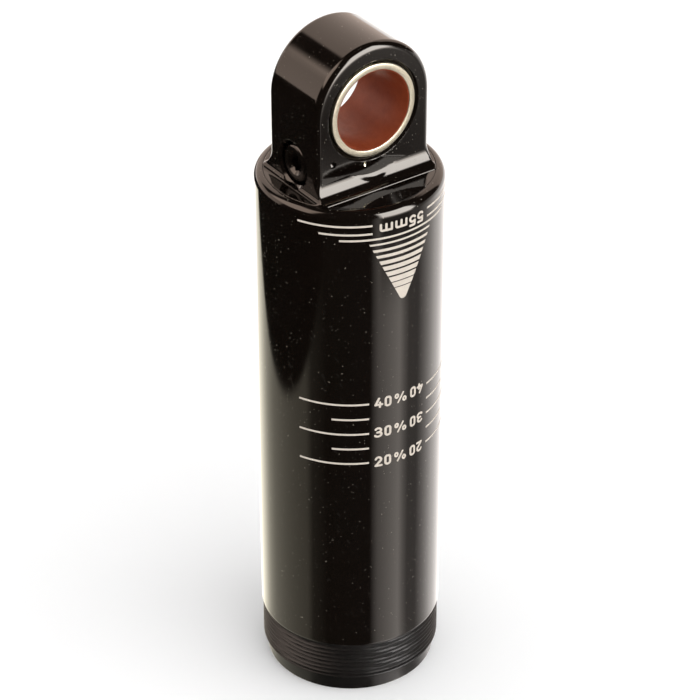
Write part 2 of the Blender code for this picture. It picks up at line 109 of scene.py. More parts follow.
# ---- sizes of details ----
PIN_R = 6.35  # bore of the liner
LINER_R = 6.47
SHELL_IN_R = 6.5
SHELL_SET_BACK = 0.03  # ends of the shell and the liner behind the eyelet's faces
LINER_SET_BACK = 0.12
SEAM_R = 13.08  # joint between the head's plug and the tube's socket
SEAM_GAP = 0.05
SEAM_BEVEL = 0.1
PLUG_EDGE_R = 0.14
SHOULDER_R = 1.4
BORE_R = 12.2
SOCKET_FLOOR = 86.4
THREAD_TOP = 9.7
THREAD_BOTTOM = 3.0
THREAD_PITCH = 0.8
THREAD_CREST_R = 14.33
THREAD_DEPTH = 0.42
THREAD_STEPS = 112
TOOTH_FLAT = 0.12  # flat share of the tooth, at the crest and at the root
PILOT_R = 13.6
PILOT_TOP = 2.5
RING_GROOVE_LOW = 0.85
RING_GROOVE_HIGH = 2.15
RING_GROOVE_R = BORE_R + 0.65
RING_MEAN_R = 12.15
RING_GAP = 30.0  # degrees left open

EDGE_R = 1.1  # rounding of the eyelet block
FOOT_EDGE_R = 0.2
FOOT_EDGE_LOW = 0.6  # above the flange, where the rounding starts to grow
FOOT_EDGE_HIGH = 3.4
CRISP_R = 0.1  # rounding where the milled cuts meet
COVE_R = 2.65  # hollow at the foot of the wide faces
LEDGE_H = 0.08  # the hollow runs out on a low ledge
LEDGE_W = 2.2
SIDE_COVE_R = 1.0
SPOT_FACE_R = 11.25  # flat milled round the bore, which bites into the hollows
SPOT_FACE_CORNER_R = 1.1
EYE_BORE_R = 7.56
EYE_BORE_FLARE_R = 8.15
PLUG_GROOVE_Z = 87.9  # groove for the head's O-ring
PLUG_GROOVE_HALF = 0.7
PLUG_GROOVE_R = 11.7
POCKET_R = 10.0  # hollow in the plug's underside
POCKET_TOP = 88.6
DIMPLE_X = -7.3  # punched in the front face
DIMPLE_Z = 95.5
DIMPLE_R = 0.55
DIMPLE_DEPTH = 0.75
DIMPLE_SLOPE = 0.6
DIMPLE_SCALE = 1.17  # keeps the cone's values near a true distance
NICK_X = -1.55  # small bare nick under the bushing
NICK_Z = 93.9
NICK_R = 0.22
NICK_SQUEEZE = 0.5  # the nick is taller than it is wide
PORT_R = 3.4
PORT_LIP = 0.4
PORT_DEPTH = 3.0
PORT_ABOVE_FLANGE = 0.1
PORT_HOLE_R = 2.3
PORT_HOLE_DEPTH = 5.0
PASSAGE_X = -6.0  # from the port down to the pocket
PASSAGE_Z = 91.0
PASSAGE_R = 0.7
PASSAGE_HALF = 2.85

SCREW_EDGE_R = 0.75
SCREW_HEAD_SINK = 1.8  # underside of the head, behind the eyelet's side
SHANK_R = 2.0
SHANK_OVERLAP = 0.2
HEX_HALF = 1.3
HEX_TURN = 12.0
HEX_DEPTH = 1.5
HEX_FLARE_R = 1.87

STUD_R = 3.0
PISTON_SEAT = 67.1  # seat on the shaft that the piston is clamped against
METERING_R = 0.9
METERING_Z = 70.0
CROSS_HOLE_R = 0.8
CROSS_HOLE_DROP = 2.6  # below the piston seat
ROD_BORE_R = 1.8
SHAFT_THREAD_R = 2.6
SHAFT_THREAD_TOP = 7.0
WIPER_POCKET_R = 7.0
WIPER_R = 6.75
SLEEVE_POCKET_R = 5.6
SLEEVE_R = 5.35
SEAL_CLEARANCE = 0.25  # between the shaft and what runs on it
SPANNER_CIRCLE_R = 9.4
SPANNER_HOLE_R = 0.75

MARK_LIFT = 0.02
MARK_SINK = 0.03
MARK_HALF = 0.09  # half thickness of the flat layout before it is laid on the wall
LINE_T = 0.32
MARKS_MIDDLE = -2.05  # azimuth of the middle of the window between the lines
SCALE_FIRST = 45.5  # height of the 20 % line
SCALE_STEP = 2.73  # each 5 % of the travel
SCALE_INNER = -23.4  # azimuths of the ends of the scale's lines
SCALE_LONG = -67.4
SCALE_SHORT = -46.3
TRAVEL_LINES = (  # (outer and inner azimuth, height) by the travel number
    (-67.1, -21.6, 88.0),
    (-53.5, -21.6, 86.62),
)
TRAVEL_LINE_END = -41.3  # this one runs across the window
TRAVEL_LINE_Z = 85.62
TRAVEL_TEXT_Z = 87.19
POINTER_MIDDLE = -1.6
POINTER_TOP = 84.8
POINTER_STEP = 1.04
POINTER_STRIPES = (0.31, 0.44, 0.50, 0.64, 0.71, 0.76, 0.87, 0.90)
POINTER_HALF_TOP = 5.55  # half width at the top, along the wall
POINTER_SLOPE = 0.490  # change of half width with height
POINTER_TIP_R = 0.65
POINTER_BOX_HALF = 5.8  # box round the pointer on the flat layout
POINTER_BOX_LOW = 73.6
POINTER_BOX_HIGH = 85.1
GLYPH_HALF_W = 1.4  # box round each glyph
GLYPH_HALF_H = 1.15
GLYPH_REACH = 1.5  # distances to a glyph's strokes are worked out this far sideways
GLYPH_STROKE = {"%": 0.150}  # half thickness of the strokes
GLYPH_STROKE_USUAL = 0.185

CAMERA_AZIMUTH = -35.136  # from -Y towards +X
CAMERA_TURN = -0.060  # away from facing the axis
CAMERA_RADIUS = 396.58  # from the tube's axis
CAMERA_HEIGHT = 315.02
CAMERA_TILT = 33.039  # below the horizon
CAMERA_ROLL = 0.082
CAMERA_LENS = 155.43

TABLE_EDGE = 100.0  # from the axis to the far edge of the lit table, on the left
TABLE_EDGE_AZIMUTH = -118.0
TABLE_EDGE_SOFT = 3.0
KEY_AZIMUTH = 20.0  # middle of the main soft box
FLOOR_HALF = 3000.0


# ---- meshes ----
def new_mesh_object(name, points, faces, sharp_angle=35):
    """points in millimetres."""
    mesh = bpy.data.meshes.new(name)
    mesh.from_pydata([tuple(point) for point in np.asarray(points, float) * MM], [], faces)
    mesh.update()
    mesh.shade_smooth()
    mesh.set_sharp_from_angle(angle=math.radians(sharp_angle))
    obj = bpy.data.objects.new(name, mesh)
    bpy.context.scene.collection.objects.link(obj)
    return obj


def bow(x, y, across, up, start, end, steps=10):
    """Points along part of an ellipse, from angle start to end."""
    angles = [math.radians(start + (end - start) * step / steps) for step in range(steps + 1)]
    return [(x + across * math.cos(angle), y + up * math.sin(angle)) for angle in angles]


def softened(corners, steps=4):
    """Outline from (x, y) or (x, y, rounding) corners, taken as a closed loop."""
    outline = []
    count = len(corners)
    for index, corner in enumerate(corners):
        here = Vector(corner[:2])
        rounding = corner[2] if len(corner) > 2 else 0.0
        if rounding == 0.0:
            outline.append(tuple(here))
            continue
        before = (Vector(corners[index - 1][:2]) - here).normalized()
        after = (Vector(corners[(index + 1) % count][:2]) - here).normalized()
        half = before.angle(after) / 2
        centre = here + (before + after).normalized() * (rounding / math.sin(half))
        reach = rounding / math.tan(half)
        start = here + before * reach - centre
        end = here + after * reach - centre
        turn = start.angle_signed(end)
        for step in range(steps + 1):
            spoke = start.copy()
            spoke.rotate(Matrix.Rotation(-turn * step / steps, 2))
            outline.append(tuple(centre + spoke))
    return outline


def grid_faces(rows, columns, closed=False):
    """Quads between rows of points that go round. In a closed grid the last row also joins the first."""
    base = np.arange(rows if closed else rows - 1)[:, None] * columns
    below = (base + columns) % (rows * columns)
    step = np.arange(columns)
    other = (step + 1) % columns
    faces = np.stack([base + step, below + step, below + other, base + other], 2)
    return faces.reshape(-1, 4).tolist()


def rod_faces(rows, columns):
    """Faces of a closed rod whose cross-sections are the rows."""
    last = (rows - 1) * columns
    caps = [list(range(columns)), list(range(last, last + columns))[::-1]]
    return grid_faces(rows, columns) + caps


def band(outer, inner, low, high, outer_edge, inner_edge):
    """Outline of a plain ring with rounded edges."""
    outside = [(outer, high, outer_edge), (outer, low, outer_edge)]
    return outside + [(inner, low, inner_edge), (inner, high, inner_edge)]


def turned(name, corners, segments=128, centre=(0.0, 0.0, 0.0), axis="Z"):
    """Turned closed ring or solid from (radius, height) corners.

    An outline that starts and ends on the axis makes a solid, any other outline a ring.
    """
    outline = softened(corners)
    solid = outline[0][0] == 0.0
    rows = outline[1:-1] if solid else outline
    angles = np.arange(segments) * (math.tau / segments)
    ring = np.stack([np.cos(angles), np.sin(angles)], 1)
    points = [(radius * c, radius * s, height) for radius, height in rows for c, s in ring]
    faces = grid_faces(len(rows), segments, closed=not solid)
    if solid:
        top = len(points)
        last = top - segments
        points += [(0.0, 0.0, outline[0][1]), (0.0, 0.0, outline[-1][1])]
        for step in range(segments):
            other = (step + 1) % segments
            faces += [(top, step, other), (top + 1, last + other, last + step)]
    points = np.array(points)
    if axis == "Y":  # local Z turned to -Y
        points = np.stack([points[:, 0], -points[:, 2], points[:, 1]], 1)
    return new_mesh_object(name, points + np.array(centre), faces)


def field_mesh(name, field, low, high, cell, bend=None):
    """Closed surface where field(x, y, z) is zero, by dual contouring, so that its edges stay crisp.

    field is negative inside and close to a true distance near the surface. bend moves the finished
    points, for a flat layout that is laid on a curved wall.
    """
    low = np.array(low, float)
    counts = np.ceil((np.array(high, float) - low) / cell).astype(int) + 1
    block = 6
    counts = ((counts + block - 1) // block) * block
    axes = [low[k] + cell * np.arange(counts[k]) for k in range(3)]
    coarse_axes = [axis.reshape(-1, block).mean(1) for axis in axes]
    coarse = field(*np.meshgrid(*coarse_axes, indexing="ij"))
    near = np.abs(coarse) < cell * block * 1.2
    values = np.where(coarse < 0, -1.0, 1.0)
    for k in range(3):
        near = np.repeat(near, block, k)
        values = np.repeat(values, block, k)
    chosen = np.nonzero(near)
    values[chosen] = field(*[axes[k][chosen[k]] for k in range(3)])
    inside = values < 0

    corner_steps = [(i, j, k) for i in (0, 1) for j in (0, 1) for k in (0, 1)]
    size = [count - 1 for count in counts]

    def shifted(array, step):
        return array[tuple(slice(step[k], step[k] + size[k]) for k in range(3))]

    filled = sum(shifted(inside, step).astype(np.int8) for step in corner_steps)
    cells = np.argwhere((filled > 0) & (filled < 8))
    index = np.full(size, -1, np.int64)
    index[tuple(cells.T)] = np.arange(len(cells))

    corner = np.stack([values[tuple((cells + step).T)] for step in corner_steps], 1)
    corner_place = np.array(corner_steps, float)
    total = np.zeros((len(cells), 3))
    hits = np.zeros(len(cells))
    crossings = []
    for a in range(8):
        for b in range(a + 1, 8):
            if np.abs(corner_place[a] - corner_place[b]).sum() != 1:
                continue
            cut = np.nonzero((corner[:, a] < 0) != (corner[:, b] < 0))[0]
            share = corner[cut, a] / (corner[cut, a] - corner[cut, b])
            place = corner_place[a] + share[:, None] * (corner_place[b] - corner_place[a])
            total[cut] += place
            hits[cut] += 1
            crossings.append((cut, place))
    mass_point = total / hits[:, None]

    def gradient(points, reach):
        slopes = []
        for k in range(3):
            step = np.zeros(3)
            step[k] = reach
            slopes.append(field(*(points + step).T) - field(*(points - step).T))
        slope = np.stack(slopes, 1)
        return slope / np.maximum(np.linalg.norm(slope, axis=1, keepdims=True), 1e-12)

    pull = 0.05  # keeps a point near its cell's crossings where the surface is flat
    matrix = np.tile(np.eye(3) * pull, (len(cells), 1, 1))
    right = np.zeros((len(cells), 3))
    for cut, place in crossings:
        normal = gradient(low + (cells[cut] + place) * cell, cell * 0.02)
        gap = np.einsum("ij,ij->i", normal, place - mass_point[cut])
        np.add.at(matrix, cut, normal[:, :, None] * normal[:, None, :])
        np.add.at(right, cut, normal * gap[:, None])
    shift = np.linalg.solve(matrix, right[:, :, None])[:, :, 0]
    place = np.clip(mass_point + shift, 0.02, 0.98)
    points = low + (cells + place) * cell

    faces = []
    for k in range(3):
        p, q = (k + 1) % 3, (k + 2) % 3
        span = [slice(1, size[n]) for n in range(3)]
        span[k] = slice(0, size[k])
        here = inside[tuple(span)]
        span[k] = slice(1, size[k] + 1)
        there = inside[tuple(span)]
        edges = np.argwhere(here != there)
        flip = here[tuple(edges.T)]
        start = np.array([1, 1, 1])
        start[k] = 0
        base = edges + start
        offsets = []
        for dp, dq in ((-1, -1), (0, -1), (0, 0), (-1, 0)):
            offset = np.zeros(3, int)
            offset[p] = dp
            offset[q] = dq
            offsets.append(index[tuple((base + offset).T)])
        quads = np.stack(offsets, 1)
        quads[~flip] = quads[~flip][:, ::-1]
        faces.append(quads)
    faces = np.concatenate(faces)
    if bend is not None:
        return new_mesh_object(name, bend(points), faces.tolist())
    obj = new_mesh_object(name, points, faces.tolist())
    mesh = obj.data
    normals = gradient(points, cell * 0.05)
    loop_vertex = np.zeros(len(mesh.loops), int)
    mesh.loops.foreach_get("vertex_index", loop_vertex)
    loop_face = np.repeat(np.arange(len(faces)), 4)
    face_centre = points[faces].mean(1)
    inward = points[loop_vertex] * 0.6 + face_centre[loop_face] * 0.4
    own = gradient(inward, cell * 0.05)
    shared = normals[loop_vertex]
    crease = np.einsum("ij,ij->i", own, shared) < math.cos(math.radians(18))
    shared[crease] = own[crease]
    mesh.normals_split_custom_set(shared.tolist())
    return obj


# ---- distance fields ----
both = np.maximum
either = np.minimum


def rounded_both(a, b, radius):
    """Inside both a and b, with the edge between them rounded."""
    outside = np.hypot(np.maximum(a + radius, 0), np.maximum(b + radius, 0))
    return np.minimum(np.maximum(a, b), -radius) + outside


def hollowed_either(a, b, radius):
    """Inside either a or b, with a hollow quarter round between them."""
    inside = np.hypot(np.maximum(radius - a, 0), np.maximum(radius - b, 0))
    return np.maximum(np.minimum(a, b), radius) - inside


def ramp(value, start, end):
    share = np.clip((value - start) / (end - start), 0, 1)
    return share * share * (3 - 2 * share)


def eyelet_block(x, y, z, from_bore):
    """The block above the flange, with hollows at the feet of its faces."""
    flange = z - TUBE_TOP
    side = np.hypot(x, np.maximum(z - EYE_ARC_Z, 0)) - HALF_WIDTH
    flat = np.abs(y) - HALF_DEPTH
    cove = hollowed_either(flat, flange - LEDGE_H, COVE_R)
    cove = rounded_both(cove, flat - LEDGE_W, CRISP_R)
    around = hollowed_either(flat, SPOT_FACE_R - from_bore, SPOT_FACE_CORNER_R)
    wide = either(either(flat, flange), rounded_both(cove, around, CRISP_R))
    narrow = hollowed_either(side, flange, SIDE_COVE_R)
    growth = ramp(z, TUBE_TOP + FOOT_EDGE_LOW, TUBE_TOP + FOOT_EDGE_HIGH)
    edge = FOOT_EDGE_R + (EDGE_R - FOOT_EDGE_R) * growth
    return either(rounded_both(wide, narrow, edge), flange)


def eye_cut(y, from_bore):
    """Bore for the bushing, flared at both faces."""
    flare = (from_bore - EYE_BORE_FLARE_R + HALF_DEPTH - np.abs(y)) / ROOT_2
    return either(from_bore - EYE_BORE_R, flare)


def plug_cut(radial, z):
    """O-ring groove and the pocket in the underside."""
    groove = both(np.abs(z - PLUG_GROOVE_Z) - PLUG_GROOVE_HALF, PLUG_GROOVE_R - radial)
    pocket = both(radial - POCKET_R, z - POCKET_TOP)
    return either(groove, pocket)


def port_cut(x, y, z):
    """Fill port in the side, with a bevelled lip, and its passage down to the pocket."""
    from_port = np.hypot(y, z - PORT_Z)
    depth = x + HALF_WIDTH
    lip = (from_port - PORT_R - PORT_LIP + np.maximum(depth, 0)) / ROOT_2
    recess = both(either(from_port - PORT_R, lip), depth - PORT_DEPTH)
    recess = both(recess, PORT_ABOVE_FLANGE - (z - TUBE_TOP))
    hole = both(from_port - PORT_HOLE_R, depth - PORT_HOLE_DEPTH)
    from_passage = np.hypot(x - PASSAGE_X, y) - PASSAGE_R
    passage = both(from_passage, np.abs(z - PASSAGE_Z) - PASSAGE_HALF)
    return either(either(recess, hole), passage)


def front_face_cut(x, y, z):
    """A punched dimple and a nick."""
    depth = y + HALF_DEPTH
    from_dimple = np.hypot(x - DIMPLE_X, z - DIMPLE_Z)
    cone = (depth + from_dimple * DIMPLE_SLOPE - DIMPLE_DEPTH) / DIMPLE_SCALE
    from_nick = np.hypot(x - NICK_X, (z - NICK_Z) * NICK_SQUEEZE)
    nick = (from_nick - NICK_R + np.maximum(depth, 0)) / ROOT_2
    return either(both(from_dimple - DIMPLE_R, cone), nick)


def head_field(x, y, z):
    radial = np.hypot(x, y)
    from_bore = np.hypot(x, z - EYE_Z)
    block = eyelet_block(x, y, z, from_bore)
    body = rounded_both(block, radial - (SEAM_R - SEAM_GAP), PLUG_EDGE_R)
    body = both(body, PLUG_BOTTOM - z)
    cuts = (eye_cut(y, from_bore), plug_cut(radial, z), port_cut(x, y, z), front_face_cut(x, y, z))
    for cut in cuts:
        body = both(body, -cut)
    return body


def hexagon_socket(y, z, from_crown):
    """Hexagon with a flared mouth. from_crown is the depth below the screw's crown."""
    hexagon = np.full_like(y, -1e9)
    for turn in (0.0, 60.0, 120.0):
        angle = math.radians(turn + HEX_TURN)
        flat = np.abs(y * math.cos(angle) + z * math.sin(angle)) - HEX_HALF
        hexagon = both(hexagon, flat)
    flare = (np.hypot(y, z) - HEX_FLARE_R + from_crown) / ROOT_2
    return both(either(hexagon, flare), from_crown - HEX_DEPTH)


def screw_field(x, y, z):
    """Button-head screw in the fill port. out is the height above the eyelet's side."""
    out = -(x + HALF_WIDTH)
    radial = np.hypot(y, z - PORT_Z)
    crown = -(SCREW_LOW.x + HALF_WIDTH)
    end = -(SCREW_HIGH.x + HALF_WIDTH)
    head = rounded_both(radial - SCREW_R, out - crown, SCREW_EDGE_R)
    head = both(head, -SCREW_HEAD_SINK - out)
    shank = both(radial - SHANK_R, end - out)
    shank = both(shank, out + SCREW_HEAD_SINK - SHANK_OVERLAP)
    return both(either(head, shank), -hexagon_socket(y, z - PORT_Z, crown - out))


# ---- procedural finishes ----
class Graph:
    """Short calls for building one material's nodes. Colours are (red, green, blue)."""

    def __init__(self, name):
        self.material = bpy.data.materials.new(name)
        self.material.use_nodes = True
        self.tree = self.material.node_tree
        self.shader = self.tree.nodes["Principled BSDF"]
        self.output = self.tree.nodes["Material Output"]
        coordinates = self.node("ShaderNodeTexCoord").outputs["Object"]
        self.place = self.vector("SCALE", coordinates, scale=1 / MM)  # millimetres

    @classmethod
    def of_tree(cls, tree):
        graph = cls.__new__(cls)
        graph.tree = tree
        return graph

    def feed(self, socket, value):
        if isinstance(value, bpy.types.NodeSocket):
            self.tree.links.new(value, socket)
        elif socket.type == "RGBA":
            socket.default_value = (*value, 1.0)
        else:
            socket.default_value = value

    def feed_named(self, made, **values):
        """Feeds inputs by name: base_color for Base Color."""
        for key, value in values.items():
            name = key.replace("_", " ").title().replace("Ior", "IOR")
            self.feed(made.inputs[name], value)

    def node(self, kind, values=(), **settings):
        """A new node. The values go to its inputs in their order, and None leaves an input alone."""
        made = self.tree.nodes.new(kind)
        for key, value in settings.items():
            setattr(made, key, value)
        for socket, value in zip(made.inputs, values):
            if value is not None:
                self.feed(socket, value)
        return made

    def vector(self, operation, first, second=None, scale=None):
        made = self.node("ShaderNodeVectorMath", (first, second), operation=operation)
        if scale is not None:
            self.feed_named(made, scale=scale)
        return made.outputs[0]

    def math(self, operation, first, second=0.0):
        return self.node("ShaderNodeMath", (first, second), operation=operation).outputs[0]

    def times(self, first, second):
        return self.math("MULTIPLY", first, second)

    def plus(self, first, second):
        return self.math("ADD", first, second)

    def minus(self, first, second):
        return self.math("SUBTRACT", first, second)

    def hypot(self, x, y):
        return self.math("SQRT", self.plus(self.times(x, x), self.times(y, y)))

    def split(self, place):
        """The x, y and z of a place."""
        return self.node("ShaderNodeSeparateXYZ", (place,)).outputs

    def noise(self, scale, detail=3.0, roughness=0.55, place=None, stretch=None):
        where = self.place if place is None else place
        if stretch is not None:
            where = self.vector("MULTIPLY", where, stretch)
        made = self.node("ShaderNodeTexNoise")
        self.feed_named(made, vector=where, scale=scale, detail=detail, roughness=roughness)
        return made.outputs["Fac"]

    def span(self, value, low, high, to_low=0.0, to_high=1.0):
        return self.node("ShaderNodeMapRange", (value, low, high, to_low, to_high)).outputs[0]

    def smooth(self, value, zero_at, one_at):
        """0 to 1, eased, as value goes from zero_at to one_at."""
        flip = zero_at > one_at
        ends = (one_at, zero_at, 1.0, 0.0) if flip else (zero_at, one_at, 0.0, 1.0)
        made = self.node("ShaderNodeMapRange", (value, *ends), interpolation_type="SMOOTHSTEP")
        return made.outputs[0]

    def mix(self, share, first, second):
        """Colours are the seventh and eighth inputs of the node and its third output."""
        values = (share, *[None] * 5, first, second)
        return self.node("ShaderNodeMix", values, data_type="RGBA").outputs[2]

    def mix_shaders(self, share, first, second):
        values = (share, first.outputs[0], second.outputs[0])
        return self.node("ShaderNodeMixShader", values)

    def mirrored_only(self, seen, mirrored):
        """One shader for what the camera and soft surfaces see, and another for glossy reflections."""
        glossy = self.node("ShaderNodeLightPath").outputs["Is Glossy Ray"]
        return self.mix_shaders(glossy, seen, mirrored)

    def polar(self, axis="Z"):
        """Round the axis: (angle in radians, radius, place along the axis)."""
        x, y, z = self.split(self.place)
        if axis == "Y":
            z, y = y, self.minus(z, EYE_Z)
        angle = self.math("ARCTAN2", y, x)
        return self.node("ShaderNodeCombineXYZ", (angle, self.hypot(x, y), z)).outputs[0]

    def bump(self, height, strength, distance, below=None):
        made = self.node("ShaderNodeBump")
        self.feed_named(made, strength=strength, distance=distance * MM, height=height)
        if below is not None:
            self.feed_named(made, normal=below)
        return made.outputs[0]

    def finish(self, **values):
        self.feed_named(self.shader, **values)
        return self.material


def scratches(graph):
    """Sparse fine lines: 1 on a scratch, 0 elsewhere."""
    tilted = graph.node("ShaderNodeVectorRotate", rotation_type="EULER_XYZ")
    graph.feed_named(tilted, vector=graph.place, rotation=(0.4, 0.3, 0.9))
    fine = graph.noise(2.2, 1.0, 0.5, place=tilted.outputs[0], stretch=(1.0, 0.04, 0.25))
    return graph.span(fine, 0.70, 0.74)


def bare_nick(graph):
    """1 in the small nick on the front face that shows bare metal."""
    x, y, z = graph.split(graph.place)
    up = graph.times(graph.minus(z, NICK_Z), NICK_SQUEEZE)
    away = graph.hypot(graph.minus(x, NICK_X), up)
    inside = graph.smooth(away, NICK_R + 0.02, NICK_R - 0.03)
    front = graph.math("LESS_THAN", y, -HALF_DEPTH + 0.6)
    return graph.times(inside, front)


def black_anodised(name, turned_marks):
    graph = Graph(name)
    cloud = graph.noise(0.25, 4.0)
    grain = graph.noise(14.0, 2.0)
    line = scratches(graph)
    pits = graph.span(graph.noise(3.1, 1.0), 0.755, 0.775)
    base = graph.mix(cloud, (0.0026, 0.0015, 0.0010), (0.0046, 0.0030, 0.0022))
    base = graph.mix(graph.times(line, 0.10), base, (0.05, 0.045, 0.04))
    base = graph.mix(graph.times(pits, 0.6), base, (0.30, 0.27, 0.22))
    rough = graph.span(cloud, 0.3, 0.7, 0.055, 0.095)
    rough = graph.plus(rough, graph.times(line, 0.08))
    normal = graph.bump(grain, 0.05, 0.004)
    normal = graph.bump(pits, 0.5, 0.02, normal)
    metallic = 0.0
    if turned_marks:
        rings = graph.noise(1.0, 2.0, place=graph.polar(), stretch=(0.6, 0.0, 18.0))
        normal = graph.bump(rings, 0.05, 0.003, normal)
    else:
        metallic = bare_nick(graph)
        base = graph.mix(metallic, base, (0.85, 0.82, 0.68))
        rough = graph.plus(rough, graph.times(metallic, 0.3))
    graph.finish(base_color=base, metallic=metallic, roughness=rough, normal=normal)
    return graph.finish(ior=1.52, specular_tint=(1.0, 0.95, 0.88))


def thread_black(name):
    graph = Graph(name)
    rings = graph.noise(1.0, 3.0, place=graph.polar(), stretch=(2.0, 0.0, 9.0))
    base = graph.mix(graph.noise(0.5, 4.0), (0.004, 0.0033, 0.003), (0.010, 0.0085, 0.0075))
    rough = graph.span(rings, 0.3, 0.7, 0.30, 0.46)
    normal = graph.bump(rings, 0.25, 0.01)
    return graph.finish(base_color=base, roughness=rough, ior=1.38, normal=normal)


def bushing_steel(name):
    graph = Graph(name)
    lines = graph.noise(1.0, 3.0, place=graph.polar("Y"), stretch=(1.5, 26.0, 26.0))
    stain = graph.noise(1.6, 4.0, 0.65)
    pits = graph.span(graph.noise(5.5, 2.0), 0.62, 0.70)
    base = graph.mix(stain, (0.39, 0.35, 0.26), (0.58, 0.54, 0.43))
    base = graph.mix(graph.times(pits, 0.55), base, (0.30, 0.25, 0.18))
    rough = graph.span(lines, 0.25, 0.75, 0.24, 0.44)
    normal = graph.bump(lines, 0.25, 0.012)
    return graph.finish(base_color=base, metallic=1.0, roughness=rough, normal=normal)


def liner_red(name):
    graph = Graph(name)
    blotch = graph.noise(0.7, 4.0, 0.6)
    grain = graph.noise(9.0, 2.0)
    along = graph.noise(1.0, 3.0, place=graph.polar("Y"), stretch=(9.0, 0.0, 0.9))
    base = graph.mix(blotch, (0.165, 0.026, 0.007), (0.27, 0.053, 0.016))
    base = graph.mix(graph.span(grain, 0.55, 0.75, 0.0, 0.4), base, (0.36, 0.095, 0.038))
    rough = graph.span(along, 0.3, 0.7, 0.34, 0.50)
    normal = graph.bump(grain, 0.25, 0.02)
    normal = graph.bump(along, 0.15, 0.02, normal)
    return graph.finish(base_color=base, roughness=rough, ior=1.32, normal=normal)


def marking_white(name):
    graph = Graph(name)
    cloud = graph.noise(1.2, 4.0)
    pits = graph.span(graph.noise(11.0, 2.0), 0.58, 0.72)
    base = graph.mix(cloud, (0.52, 0.465, 0.40), (0.66, 0.59, 0.51))
    base = graph.mix(graph.times(pits, 0.35), base, (0.33, 0.29, 0.24))
    rough = graph.span(cloud, 0.3, 0.7, 0.50, 0.66)
    return graph.finish(base_color=base, roughness=rough, normal=graph.bump(pits, 0.2, 0.01))


def machined(name, low, high, rough_low, rough_high):
    """Turned bright metal with fine tool lines."""
    graph = Graph(name)
    lines = graph.noise(1.0, 3.0, place=graph.polar(), stretch=(1.0, 22.0, 22.0))
    base = graph.mix(graph.noise(0.35, 3.0), low, high)
    rough = graph.span(lines, 0.25, 0.75, rough_low, rough_high)
    normal = graph.bump(lines, 0.15, 0.008)
    return graph.finish(base_color=base, metallic=1.0, roughness=rough, normal=normal)


def moulded(name, low, high, rough_low, rough_high):
    """Rubber or polymer with a fine grain."""
    graph = Graph(name)
    grain = graph.noise(6.0, 3.0)
    base = graph.mix(graph.noise(0.5, 3.0), low, high)
    rough = graph.span(grain, 0.3, 0.7, rough_low, rough_high)
    return graph.finish(base_color=base, roughness=rough, normal=graph.bump(grain, 0.25, 0.02))


def slot_finishes():
    """The material of each material slot in the record."""
    head_black = black_anodised("black_anodised_head", False)
    finishes = {
        "head_anodised": head_black,
        "screw_black": head_black,
        "tube_anodised": black_anodised("black_anodised_tube", True),
        "bushing_steel": bushing_steel("bushing_steel"),
        "bushing_liner": liner_red("bushing_liner_red"),
    }
    for kind, slot, name, low, high, rough_low, rough_high in (
        (machined, "shaft_chrome", "hard_chrome", (0.80, 0.80, 0.81), (0.88, 0.88, 0.89), 0.05, 0.12),
        (machined, "inner_aluminium", "turned_aluminium", (0.60, 0.61, 0.62), (0.74, 0.75, 0.76), 0.24, 0.40),
        (machined, "spring_steel", "spring_steel", (0.36, 0.36, 0.37), (0.48, 0.48, 0.50), 0.22, 0.36),
        (machined, "nut_steel", "nut_steel", (0.44, 0.44, 0.44), (0.56, 0.56, 0.57), 0.28, 0.42),
        (machined, "rod_brass", "rod_brass", (0.66, 0.48, 0.20), (0.80, 0.62, 0.30), 0.20, 0.34),
        (moulded, "seal_rubber", "seal_rubber", (0.010, 0.010, 0.010), (0.022, 0.021, 0.020), 0.45, 0.62),
        (moulded, "seal_polymer", "seal_polymer", (0.60, 0.57, 0.48), (0.74, 0.71, 0.62), 0.38, 0.52),
        (moulded, "bronze_polymer", "bronze_polymer", (0.26, 0.15, 0.08), (0.38, 0.23, 0.12), 0.36, 0.52),
    ):
        finishes[slot] = kind(name, low, high, rough_low, rough_high)
    return finishes


FINISHES = slot_finishes()
INK = marking_white("etched_marking")


def dress(obj, node, material=None):
    """The piece rides with a CAD node and stands for it. A marking brings its own material and only rides."""
    obj.data.materials.clear()
    obj.data.materials.append(material or FINISHES[SLOTS[node]])
    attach(obj, BODIES[node])
    if material is None:
        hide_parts(node)


# ---- tube and its markings ----
def tube_outline():
    """(radius, height) rows from the seam down the wall, round the rim and up the bore."""
    rows = [(SEAM_R, TUBE_TOP - SEAM_BEVEL), (SEAM_R + SEAM_BEVEL, TUBE_TOP)]
    rows += bow(TUBE_R - SHOULDER_R, TUBE_TOP - SHOULDER_R, SHOULDER_R, SHOULDER_R, 90, 0, 12)
    rows += [
        (TUBE_R, THREAD_TOP + 0.3),
        (TUBE_R, THREAD_TOP + 0.14),
        (TUBE_R - 0.04, THREAD_TOP + 0.05),
    ]
    first = len(rows)
    for step in range(THREAD_STEPS + 1):
        height = THREAD_TOP - (THREAD_TOP - THREAD_BOTTOM) * step / THREAD_STEPS
        rows.append((THREAD_CREST_R, height))
    thread = slice(first, len(rows))
    rows += softened([
        (THREAD_CREST_R, THREAD_BOTTOM - 0.02),
        (PILOT_R + 0.3, PILOT_TOP + 0.12),
        (PILOT_R, PILOT_TOP),
        (PILOT_R, 0.0, 0.22),
        (BORE_R, 0.0, 0.2),
        (BORE_R, RING_GROOVE_LOW),
        (RING_GROOVE_R, RING_GROOVE_LOW),
        (RING_GROOVE_R, RING_GROOVE_HIGH),
        (BORE_R, RING_GROOVE_HIGH),
        (BORE_R, SOCKET_FLOOR),
        (SEAM_R, SOCKET_FLOOR),
    ])
    return rows, thread


